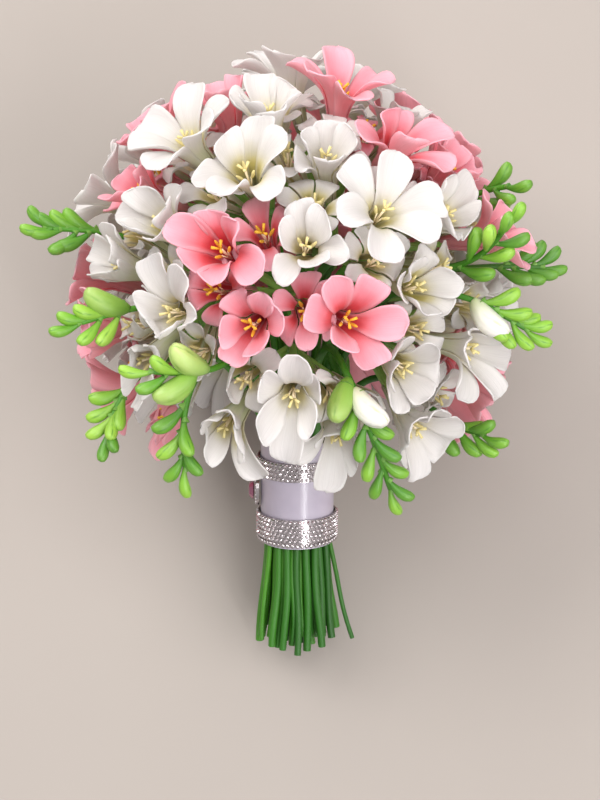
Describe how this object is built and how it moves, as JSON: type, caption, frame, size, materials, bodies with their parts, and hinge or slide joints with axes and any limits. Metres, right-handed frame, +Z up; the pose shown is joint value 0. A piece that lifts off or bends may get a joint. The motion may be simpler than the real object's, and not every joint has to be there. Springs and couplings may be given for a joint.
{
  "type": "freesia bouquet",
  "caption": "Round hand-tied bouquet of white and pink freesias with green bud sprays, its stems wrapped in satin with rhinestone bands and a small brooch, lying on its back.",
  "frame": {"origin": "middle of the bouquet's footprint, on the surface that it lies on", "axes": "+Z up, +Y from the cut stems towards the flowers, +X to the right when the front, which faces up, is seen with the flowers at the top"},
  "size_m": [0.2532, 0.279, 0.2088],
  "materials": {
    "white_petals": "soft white petal with a yellow-green throat",
    "pink_petals": "soft pink petal, coral red in the throat",
    "green_stems": "fresh green stem",
    "green_buds": "smooth yellow-green bud",
    "satin": "lavender-white satin ribbon",
    "rhinestones": "clear foiled rhinestones in silver mesh",
    "brooch_metal": "polished silver-coloured setting",
    "brooch_stone": "faceted dusky pink glass"
  },
  "bodies": {
    "root": {"brooch_setting": "brooch_metal", "brooch_stone": "brooch_stone", "bud_spray_far_right": "green_buds", "bud_spray_front_left": "green_buds", "bud_spray_front_middle": "green_buds", "bud_spray_left_high": "green_buds", "bud_spray_left_low": "green_buds", "bud_spray_left_middle": "green_buds", "bud_spray_lower_left": "green_buds", "bud_spray_right_high": "green_buds", "bud_spray_right_low": "green_buds", "bud_spray_right_middle": "green_buds", "bud_spray_upper_right": "green_buds", "flower_stem_01": "green_stems", "flower_stem_02": "green_stems", "flower_stem_03": "green_stems", "flower_stem_04": "green_stems", "flower_stem_05": "green_stems", "flower_stem_06": "green_stems", "flower_stem_07": "green_stems", "flower_stem_08": "green_stems", "flower_stem_09": "green_stems", "flower_stem_10": "green_stems", "flower_stem_11": "green_stems", "flower_stem_12": "green_stems", "flower_stem_13": "green_stems", "flower_stem_14": "green_stems", "flower_stem_15": "green_stems", "flower_stem_16": "green_stems", "flower_stem_17": "green_stems", "flower_stem_18": "green_stems", "flower_stem_19": "green_stems", "flower_stem_20": "green_stems", "flower_stem_21": "green_stems", "pink_florets_01": "pink_petals", "pink_florets_02": "pink_petals", "pink_florets_03": "pink_petals", "pink_florets_04": "pink_petals", "pink_florets_05": "pink_petals", "pink_florets_06": "pink_petals", "pink_florets_07": "pink_petals", "pink_florets_08": "pink_petals", "pink_florets_09": "pink_petals", "rhinestone_band_lower": "rhinestones", "rhinestone_band_upper": "rhinestones", "satin_wrap": "satin", "white_florets_01": "white_petals", "white_florets_02": "white_petals", "white_florets_03": "white_petals", "white_florets_04": "white_petals", "white_florets_05": "white_petals", "white_florets_06": "white_petals", "white_florets_07": "white_petals", "white_florets_08": "white_petals", "white_florets_09": "white_petals", "white_florets_10": "white_petals", "white_florets_11": "white_petals", "white_florets_12": "white_petals"}
  },
  "joints": []
}
